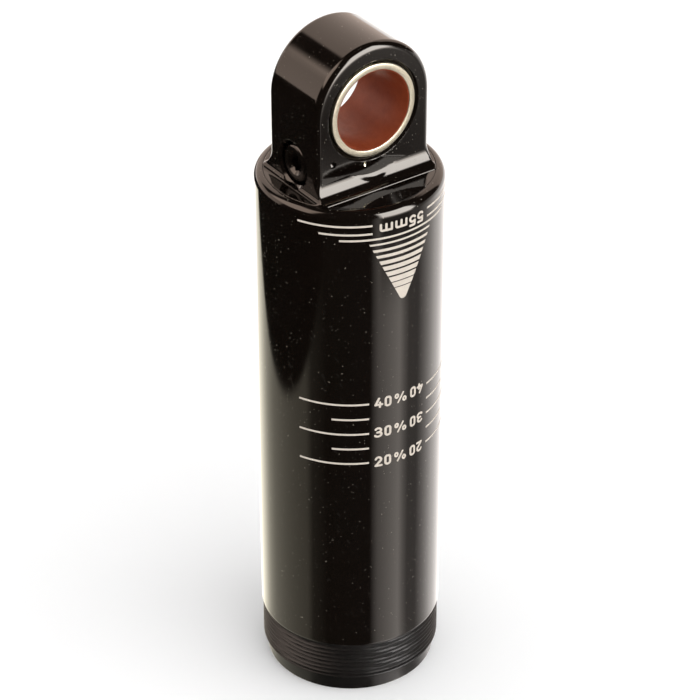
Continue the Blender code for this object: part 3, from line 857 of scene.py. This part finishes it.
def thread_radii(heights, angles):
    """A helical thread that fades out at both ends."""
    phase = (heights / THREAD_PITCH - angles / math.tau) % 1.0
    tooth = np.clip((np.abs(2 * phase - 1) - TOOTH_FLAT) / (1 - 2 * TOOTH_FLAT), 0, 1)
    fade = ramp(THREAD_TOP - heights, 0.1, 0.5) * ramp(heights - THREAD_BOTTOM, 0.0, 0.35)
    return THREAD_CREST_R - THREAD_DEPTH * (1 - tooth) * fade


def build_tube():
    """One lathe grid, with the thread and its run-out in a finish of their own."""
    segments = 256
    rows, thread = tube_outline()
    angles = np.arange(segments) * (math.tau / segments)
    radii, heights = np.array(rows).T[:, :, None] * np.ones(segments)
    radii[thread] = thread_radii(heights[thread], angles)
    points = np.stack([radii * np.cos(angles), radii * np.sin(angles), heights], 2).reshape(-1, 3)
    faces = grid_faces(len(rows), segments, closed=True)
    obj = new_mesh_object("body_tube_skin", points, faces, 40)
    dress(obj, "body_tube")
    obj.data.materials.append(thread_black("black_anodised_thread"))
    slots = np.zeros((len(rows), segments), np.int32)
    slots[thread.start:thread.stop + 3] = 1
    obj.data.polygons.foreach_set("material_index", slots.ravel())


def wrapped(points):
    """Flat (arc length, height, thickness) points laid on the tube's wall; arc 0 faces -Y."""
    angle = points[:, 0] / TUBE_R
    radius = TUBE_R + points[:, 2]
    return np.stack([radius * np.sin(angle), -radius * np.cos(angle), points[:, 1]], 1)


def laid_on(points):
    """The flat layout of a mark, pressed onto the wall with a little of it sunk in."""
    flat = points.copy()
    share = (points[:, 2] + MARK_HALF) / (2 * MARK_HALF)
    flat[:, 2] = share * (MARK_LIFT + MARK_SINK) - MARK_SINK
    return wrapped(flat)


def arc_at(azimuth):
    """Arc length along the wall."""
    return math.radians(azimuth) * TUBE_R


def strip(start, end, height, points, faces):
    """Adds a thin printed line from azimuth start to end."""
    steps = max(2, int(abs(end - start) / 1.5) + 1)
    base = len(points)
    for step in range(steps + 1):
        arc = arc_at(start + (end - start) * step / steps)
        for side, out in ((-1, MARK_LIFT), (1, MARK_LIFT), (1, -MARK_SINK), (-1, -MARK_SINK)):
            points.append((arc, height + side * LINE_T / 2, out))
    faces.extend([base + corner for corner in face] for face in rod_faces(steps + 1, 4))


def build_scale():
    """The lines on both sides of the window, and the one across it."""
    points, faces = [], []
    pairs = [
        (SCALE_SHORT if step % 2 else SCALE_LONG, SCALE_INNER, SCALE_FIRST + step * SCALE_STEP)
        for step in range(5)
    ]
    for outer, inner, height in (*pairs, *TRAVEL_LINES):
        strip(outer, inner, height, points, faces)
        strip(2 * MARKS_MIDDLE - inner, 2 * MARKS_MIDDLE - outer, height, points, faces)
    strip(TRAVEL_LINE_END, 2 * MARKS_MIDDLE - TRAVEL_LINE_END, TRAVEL_LINE_Z, points, faces)
    obj = new_mesh_object("scale_lines", wrapped(np.array(points)), faces, 30)
    dress(obj, "body_tube", INK)


def build_mark(name, field, low, high, cell):
    """A marking meshed as a flat layout and laid on the wall. low and high are (arc length, height)."""
    out = 2 * MARK_HALF
    obj = field_mesh(name, field, (*low, -out), (*high, out), cell, laid_on)
    dress(obj, "body_tube", INK)


def pointer_field(u, v, w):
    """Arrow of stripes that thicken towards a rounded tip."""
    across = np.abs(u - arc_at(POINTER_MIDDLE))
    length = math.hypot(1.0, POINTER_SLOPE)
    side = (across - POINTER_HALF_TOP + (POINTER_TOP - v) * POINTER_SLOPE) / length
    tip_height = POINTER_TOP - POINTER_HALF_TOP / POINTER_SLOPE
    tip_centre = tip_height + POINTER_TIP_R * length / POINTER_SLOPE
    round_tip = np.hypot(across, v - tip_centre) - POINTER_TIP_R
    side = np.where(v < tip_centre - POINTER_TIP_R * POINTER_SLOPE / length, round_tip, side)
    stripes = v - (POINTER_TOP - len(POINTER_STRIPES) * POINTER_STEP)
    for step, thickness in enumerate(POINTER_STRIPES):
        middle = POINTER_TOP - step * POINTER_STEP - thickness / 2
        stripes = either(stripes, np.abs(v - middle) - thickness / 2)
    return both(both(side, stripes), np.abs(w) - MARK_HALF)


def build_pointer():
    middle = arc_at(POINTER_MIDDLE)
    low = (middle - POINTER_BOX_HALF, POINTER_BOX_LOW)
    high = (middle + POINTER_BOX_HALF, POINTER_BOX_HIGH)
    build_mark("scale_pointer", pointer_field, low, high, 0.05)


# Pen strokes of each glyph, round its own centre.
GLYPHS = {
    "0": [
        bow(0.06, 0.40, 0.34, 0.37, 0, 90, 6)
        + bow(-0.06, 0.40, 0.34, 0.37, 90, 180, 6)
        + bow(-0.06, -0.40, 0.34, 0.37, 180, 270, 6)
        + bow(0.06, -0.40, 0.34, 0.37, 270, 360, 6)
        + [(0.40, 0.40)],
    ],
    "2": [bow(0.0, 0.34, 0.44, 0.43, 165, -25) + [(-0.46, -0.77), (0.50, -0.77)]],
    "3": [
        bow(-0.06, 0.38, 0.46, 0.39, 150, -90),
        bow(-0.06, -0.38, 0.54, 0.39, 90, -150),
        [(-0.20, 0.0), (-0.04, 0.0)],
    ],
    "4": [[(0.06, 0.77), (-0.52, -0.34), (0.56, -0.34)], [(0.20, 0.04), (0.20, -0.77)]],
    "5": [
        [(0.46, 0.77), (-0.38, 0.77), (-0.44, 0.06)] + bow(-0.02, -0.29, 0.50, 0.48, 125, -150),
    ],
    "%": [
        bow(-0.70, 0.42, 0.25, 0.33, 0, 360, 16),
        bow(0.70, -0.42, 0.25, 0.33, 0, 360, 16),
        [(0.46, 0.80), (-0.46, -0.80)],
    ],
    "m": [
        [(-0.88, -0.77), (-0.88, 0.26), (0.60, 0.26)]
        + bow(0.62, 0.0, 0.26, 0.26, 90, 0, 5)
        + [(0.88, -0.77)],
        [(0.0, 0.26), (0.0, -0.77)],
    ],
}


def glyph_field(u, v, glyph):
    """Flat distance to the pen strokes of one glyph, drawn round its own centre."""
    nearest = np.full(u.shape, 1e9)
    for path in GLYPHS[glyph]:
        for (x0, y0), (x1, y1) in zip(path, path[1:]):
            along_x, along_y = x1 - x0, y1 - y0
            length = along_x * along_x + along_y * along_y
            if length < 1e-12:
                continue
            share = np.clip(((u - x0) * along_x + (v - y0) * along_y) / length, 0, 1)
            gap = np.hypot(u - x0 - share * along_x, v - y0 - share * along_y)
            nearest = np.minimum(nearest, gap)
    return nearest - GLYPH_STROKE.get(glyph, GLYPH_STROKE_USUAL)


def build_text(name, letters, height):
    """letters are (glyph, azimuth of its middle, True if it reads from below)."""

    def field(u, v, w):
        nearest = np.full(u.shape, 1e9)
        for glyph, azimuth, upside_down in letters:
            across, up = u - arc_at(azimuth), v - height
            if upside_down:
                across, up = -across, -up
            close = np.abs(across) < GLYPH_REACH
            gap = glyph_field(across[close], up[close], glyph)
            nearest[close] = np.minimum(nearest[close], gap)
        nearest = np.minimum(nearest, GLYPH_REACH)
        return both(nearest, np.abs(w) - MARK_HALF)

    middles = [arc_at(azimuth) for _, azimuth, _ in letters]
    low = (min(middles) - GLYPH_HALF_W, height - GLYPH_HALF_H)
    high = (max(middles) + GLYPH_HALF_W, height + GLYPH_HALF_H)
    build_mark(name, field, low, high, 0.045)


def build_numbers():
    """The scale's numbers stand twice, to be read from above and from below."""
    for step, digit in ((0, "2"), (2, "3"), (4, "4")):
        letters = [
            (digit, -17.4, False),
            ("0", -11.3, False),
            ("%", -2.6, False),
            ("0", 6.9, True),
            (digit, 12.9, True),
        ]
        build_text(f"scale_number_{digit}0", letters, SCALE_FIRST + step * SCALE_STEP)
    letters = [("m", -13.1, True), ("m", -3.2, True), ("5", 5.0, True), ("5", 11.3, True)]
    build_text("travel_number", letters, TRAVEL_TEXT_Z)


# ---- head, bushing and screw ----
def build_head():
    margin = 0.6
    low = (-SEAM_R - margin, -SEAM_R - margin, PLUG_BOTTOM - margin)
    high = (SEAM_R + margin, SEAM_R + margin, HEAD_TOP + margin)
    dress(field_mesh("eyelet_head_skin", head_field, low, high, 0.2), "eyelet_head")


def build_fill_screw():
    margin = 0.4
    low = [value - margin for value in SCREW_LOW]
    high = [value + margin for value in SCREW_HIGH]
    dress(field_mesh("fill_screw_skin", screw_field, low, high, 0.09), "fill_screw")


def build_bushing():
    for name, node, outer, inner, set_back, outer_edge, inner_edge in (
        ("bushing_ring", "bushing_shell", SHELL_R, SHELL_IN_R, SHELL_SET_BACK, 0.18, 0.12),
        ("bushing_sleeve", "bushing_liner", LINER_R, PIN_R, LINER_SET_BACK, 0.0, 0.05),
    ):
        end = HALF_DEPTH - set_back
        corners = band(outer, inner, -end, end, outer_edge, inner_edge)
        dress(turned(name, corners, 160, (0.0, 0.0, EYE_Z), "Y"), node)


# ---- pieces inside the tube ----
def cut_with(obj, cutters):
    """Boolean cut, made final."""
    for cutter in cutters:
        modifier = obj.modifiers.new("cut", "BOOLEAN")
        modifier.operation = "DIFFERENCE"
        modifier.object = cutter
    bpy.context.view_layer.update()
    graph = bpy.context.evaluated_depsgraph_get()
    mesh = bpy.data.meshes.new_from_object(obj.evaluated_get(graph))
    obj.modifiers.clear()
    obj.data = mesh
    mesh.shade_smooth()
    mesh.set_sharp_from_angle(angle=math.radians(30))
    for cutter in cutters:
        bpy.data.objects.remove(cutter, do_unlink=True)


def build_shaft():
    top = SHAFT_HIGH.z
    bottom = SHAFT_LOW.z
    corners = [
        (METERING_R, top),
        (STUD_R, top, 0.3),
        (STUD_R, PISTON_SEAT),
        (SHAFT_R, PISTON_SEAT, 0.35),
        (SHAFT_R, bottom, 0.45),
        (SHAFT_THREAD_R + 0.3, bottom, 0.1),
        (SHAFT_THREAD_R, bottom + 0.35),
        (SHAFT_THREAD_R, SHAFT_THREAD_TOP),
        (ROD_BORE_R, SHAFT_THREAD_TOP),
        (ROD_BORE_R, METERING_Z),
        (METERING_R, METERING_Z + 0.6),
    ]
    shaft = turned("damper_shaft_skin", corners, 112)
    reach = SHAFT_R + 1
    corners = [(0.0, reach), (CROSS_HOLE_R, reach), (CROSS_HOLE_R, -reach), (0.0, -reach)]
    centre = (0.0, 0.0, PISTON_SEAT - CROSS_HOLE_DROP)
    hole = turned("rebound_cross_hole", corners, 24, centre, "Y")
    cut_with(shaft, [hole])
    dress(shaft, "damper_shaft")


def build_rebound_rod():
    low, high = node_box("rebound_rod")
    radius = high.x
    groove_r = radius - 0.5
    groove_low = low.z + 2.6
    groove_high = low.z + 3.6
    corners = [
        (0.0, high.z),
        (0.5, high.z, 0.12),
        (radius, high.z - 3.0, 0.4),
        (radius, groove_high),
        (groove_r, groove_high),
        (groove_r, groove_low),
        (radius, groove_low),
        (radius, low.z, 0.25),
        (0.0, low.z),
    ]
    rod = turned("rebound_rod_skin", corners, 64)
    key_r = 0.7
    key_top = low.z + 1.2
    key_end = low.z - 0.8
    corners = [(0.0, key_top), (key_r, key_top), (key_r, key_end), (0.0, key_end)]
    cut_with(rod, [turned("rebound_rod_key", corners, 6)])
    dress(rod, "rebound_rod")


def build_seal_head():
    low, high = node_box("seal_head")
    outer = high.x
    base = low.z
    groove_r = outer - 1.4
    groove_low = base + 2.8
    groove_high = base + 4.7
    pocket_top = base + 3.4
    sleeve_seat = base + 4.1
    corners = [
        (outer, high.z, 0.3),
        (outer, groove_high, 0.08),
        (groove_r, groove_high),
        (groove_r, groove_low),
        (outer, groove_low, 0.08),
        (outer, base, 0.25),
        (WIPER_POCKET_R, base, 0.3),
        (WIPER_POCKET_R, pocket_top),
        (SHAFT_R + 0.3, pocket_top),
        (SHAFT_R + 0.3, sleeve_seat),
        (SLEEVE_POCKET_R, sleeve_seat),
        (SLEEVE_POCKET_R, high.z, 0.15),
    ]
    head = turned("seal_head_skin", corners, 144)
    holes = []
    mouth = SPANNER_HOLE_R + 0.2
    corners = [(0.0, 1.6), (SPANNER_HOLE_R, 1.6), (SPANNER_HOLE_R, 0.0)]
    corners += [(mouth, -0.2), (mouth, -1.0), (0.0, -1.0)]
    for turn in range(4):
        angle = math.tau * (turn + 0.5) / 4
        place = (SPANNER_CIRCLE_R * math.cos(angle), SPANNER_CIRCLE_R * math.sin(angle), base)
        holes.append(turned("spanner_hole", corners, 32, place))
    cut_with(head, holes)
    dress(head, "seal_head")


def build_wiper():
    low, high = node_box("shaft_wiper")
    inner = SHAFT_R + SEAL_CLEARANCE
    corners = [
        (inner + 0.5, high.z),
        (WIPER_R, high.z, 0.2),
        (WIPER_R, low.z + 0.35, 0.2),
        (5.9, low.z + 0.30, 0.3),
        (5.3, low.z + 0.45, 0.3),
        (inner, low.z, 0.08),
        (inner, low.z + 0.5, 0.2),
    ]
    dress(turned("shaft_wiper_skin", corners), "shaft_wiper")


def build_shaft_bushing():
    low, high = node_box("shaft_bushing")
    inner = SHAFT_R + SEAL_CLEARANCE
    dress(turned("shaft_bushing_skin", band(SLEEVE_R, inner, low.z, high.z, 0.1, 0.1)), "shaft_bushing")


def build_retaining_ring():
    """Open ring of round wire with rounded ends."""
    low, high = node_box("retaining_ring")
    wire = (high.z - low.z) / 2
    middle = (high.z + low.z) / 2
    bulge = wire / RING_MEAN_R
    across = 24
    along = 160
    start = math.radians(90 + RING_GAP / 2)
    end = math.radians(450 - RING_GAP / 2)
    leans = [math.pi / 2 * step / 5 for step in range(1, 5)]
    stations = [(start - bulge * math.cos(lean), wire * math.sin(lean)) for lean in leans]
    stations += [(start + (end - start) * step / along, wire) for step in range(along + 1)]
    stations += [(end + bulge * math.sin(lean), wire * math.cos(lean)) for lean in leans]
    points = []
    for angle, radius in stations:
        for step in range(across):
            turn = math.tau * step / across
            reach = RING_MEAN_R + radius * math.cos(turn)
            height = middle + radius * math.sin(turn)
            points.append((reach * math.cos(angle), reach * math.sin(angle), height))
    obj = new_mesh_object("retaining_ring_skin", points, rod_faces(len(stations), across), 50)
    dress(obj, "retaining_ring")


def finish_nodes():
    """Every CAD node takes its slot's finish. Those inside the tube show their own meshes."""
    for node, slot in SLOTS.items():
        obj = frame["nodes"][node]
        obj.data.materials.clear()
        obj.data.materials.append(FINISHES[slot])


# ---- floor, light and camera ----
def direction_angles(graph, place):
    """Azimuth (from -Y towards +X) and elevation of a direction, in degrees."""
    x, y, z = graph.split(place)
    azimuth = graph.math("DEGREES", graph.math("ARCTAN2", x, graph.times(y, -1.0)))
    elevation = graph.math("DEGREES", graph.math("ARCSINE", z))
    return azimuth, elevation


def softbox(graph, azimuth, elevation, across, up, brightness, soft):
    """Brightness inside a window of directions with soft edges, and 0 outside."""
    offset = graph.minus(azimuth, (across[0] + across[1]) / 2)
    offset = graph.node("ShaderNodeMath", (offset, 180.0, -180.0), operation="WRAP").outputs[0]
    half = (across[1] - across[0]) / 2
    side = graph.smooth(graph.math("ABSOLUTE", offset), half + soft[0] / 2, half - soft[0] / 2)
    low = graph.smooth(elevation, up[0] - soft[1] / 2, up[0] + soft[1] / 2)
    high = graph.smooth(elevation, up[1] + soft[1] / 2, up[1] - soft[1] / 2)
    share = graph.times(side, graph.times(low, high))
    return graph.times(share, brightness)


# Brightness of the table as the black surfaces mirror it, by azimuth.
TABLE_TONES = (
    (-180, 2.7), (-172, 2.5), (-158, 1.6), (-145, 1.15), (-107, 0.8), (-91, 0.66), (-83, 0.18),
    (-64, 0.02), (-10, 0.03), (0, 1.15), (13, 1.75), (28, 2.4), (35, 1.25), (42, 0.52),
    (56, 0.42), (70, 1.25), (88, 2.3), (112, 2.6), (141, 2.2), (159, 2.4), (180, 2.8),
)


def table_tone(graph, azimuth, away):
    """TABLE_TONES by azimuth, corrected for the tube's radius near its foot."""
    lean = graph.math("DIVIDE", math.degrees(TUBE_R), away)
    heading = azimuth
    for _ in range(2):
        half_turn = graph.times(graph.minus(heading, CAMERA_AZIMUTH), math.radians(0.5))
        heading = graph.plus(azimuth, graph.times(lean, graph.math("SINE", half_turn)))
    peak = 3.0
    tone = graph.node("ShaderNodeValToRGB", (graph.span(heading, -180.0, 180.0),))
    stops = tone.color_ramp.elements
    for _ in TABLE_TONES[2:]:
        stops.new(0.5)
    for stop, (angle, brightness) in zip(stops, TABLE_TONES):
        level = brightness / peak
        stop.position = (angle + 180) / 360
        stop.color = (level, level, level, 1.0)
    return graph.times(tone.outputs[0], peak)


def table_glow(graph, place):
    """How bright a point of the table is in reflections, and its azimuth."""
    azimuth, _ = direction_angles(graph, place)
    x, y, _ = graph.split(place)
    away = graph.hypot(x, y)
    near = table_tone(graph, azimuth, away)

    # Towards the main soft box the table first darkens outwards and then brightens again.
    under_key = graph.times(near, graph.smooth(away, 185.0, 135.0))
    under_key = graph.plus(under_key, graph.times(graph.smooth(away, 150.0, 420.0), 3.5))
    under_key = graph.plus(under_key, graph.span(away, 400.0, 700.0, 0.0, 7.0))
    off_key = graph.math("ABSOLUTE", graph.minus(azimuth, KEY_AZIMUTH))
    facing = graph.smooth(off_key, 23.0, 15.0)
    blended = graph.node("ShaderNodeMix", (facing, None, near, under_key))

    edge = math.radians(TABLE_EDGE_AZIMUTH)
    out = graph.plus(graph.times(x, math.sin(edge)), graph.times(y, -math.cos(edge)))
    on_table = graph.smooth(out, TABLE_EDGE + TABLE_EDGE_SOFT, TABLE_EDGE - TABLE_EDGE_SOFT)
    return graph.plus(graph.times(blended.outputs[0], on_table), 0.015), azimuth


def floor_paper():
    """White paper that reflections see as a lit table, and that is clear from below."""
    graph = Graph("floor_paper")
    graph.finish(base_color=(0.95, 0.95, 0.95), roughness=0.9)
    position = graph.node("ShaderNodeNewGeometry").outputs["Position"]
    strength, azimuth = table_glow(graph, graph.vector("SCALE", position, scale=1 / MM))
    on_right = graph.smooth(azimuth, -60.0, -20.0)
    tint = graph.mix(on_right, (0.955, 0.90, 0.74), (0.97, 0.92, 0.89))
    glow = graph.node("ShaderNodeEmission", (tint, strength))
    paper = graph.mirrored_only(graph.shader, glow)
    below = graph.node("ShaderNodeNewGeometry").outputs["Backfacing"]
    clear = graph.node("ShaderNodeBsdfTransparent")
    shader = graph.mix_shaders(below, paper, clear)
    graph.feed(graph.output.inputs["Surface"], shader.outputs[0])
    return graph.material


def build_floor():
    """The floor moves with the shaft, which carries the part when it is drawn out."""
    half = FLOOR_HALF
    corners = [(-half, -half, 0), (half, -half, 0), (half, half, 0), (-half, half, 0)]
    floor = new_mesh_object("floor", corners, [(0, 1, 2, 3)])
    floor.parent = frame["bodies"]["shaft"]
    floor.data.materials.append(floor_paper())


# Soft boxes: (warm or white, azimuths, elevations, brightness, softness across and up).
SOFT_BOXES = (
    ("white", (0, 43), (-4, 43), 13.0, (7, 7)),
    ("warm", (0, 43), (-26, -4), 1.6, (7, 9)),
    ("white", (-16, 10), (-32, -6), 12.0, (6, 8)),
    ("warm", (-148, -82), (26, 63), 3.2, (12, 8)),
    ("warm", (90, 188), (-40, 47), 1.4, (6, 8)),
    ("warm", (-172, -120), (-6, 25), 1.5, (5, 5)),
    ("white", (170, 192), (-40, 4), 1.4, (8, 6)),
)


def build_light():
    """Soft boxes round the object as the gloss mirrors them, and an even soft light for the rest."""
    world = bpy.data.worlds.new("studio")
    world.use_nodes = True
    world.cycles.sampling_method = "NONE"
    bpy.context.scene.world = world
    graph = Graph.of_tree(world.node_tree)
    direction = graph.node("ShaderNodeTexCoord").outputs["Generated"]
    angles = direction_angles(graph, direction)
    total = {"warm": 0.04, "white": 0.0}
    for kind, *box in SOFT_BOXES:
        total[kind] = graph.plus(softbox(graph, *angles, *box), total[kind])
    warm = graph.vector("SCALE", (1.14, 0.92, 0.80), scale=total["warm"])
    white = graph.vector("SCALE", (1.0, 0.98, 0.97), scale=total["white"])
    studio = graph.node("ShaderNodeBackground", (graph.vector("ADD", warm, white),))
    fill = softbox(graph, *angles, (-30, 60), (10, 80), 1.1, (30, 20))
    even = graph.node("ShaderNodeBackground", ((1.0, 1.0, 1.0), graph.plus(fill, 0.92)))
    light = graph.mirrored_only(even, studio)
    graph.feed(world.node_tree.nodes["World Output"].inputs[0], light.outputs[0])


def build_camera():
    data = bpy.data.cameras.new("camera")
    data.lens = CAMERA_LENS
    data.sensor_width = 36.0
    data.clip_start = 0.01
    camera = bpy.data.objects.new("camera", data)
    bpy.context.scene.collection.objects.link(camera)
    azimuth = math.radians(CAMERA_AZIMUTH)
    camera.location = (
        CAMERA_RADIUS * math.sin(azimuth) * MM,
        -CAMERA_RADIUS * math.cos(azimuth) * MM,
        CAMERA_HEIGHT * MM,
    )
    tilt = math.radians(90 - CAMERA_TILT)
    turn = math.radians(CAMERA_AZIMUTH + CAMERA_TURN)
    camera.rotation_euler = (tilt, math.radians(CAMERA_ROLL), turn)
    bpy.context.scene.camera = camera


build_tube()
build_head()
build_bushing()
build_fill_screw()
build_scale()
build_pointer()
build_numbers()
build_shaft()
build_rebound_rod()
build_seal_head()
build_wiper()
build_shaft_bushing()
build_retaining_ring()
finish_nodes()
build_floor()
build_light()
build_camera()
bpy.context.scene.view_settings.view_transform = "Standard"
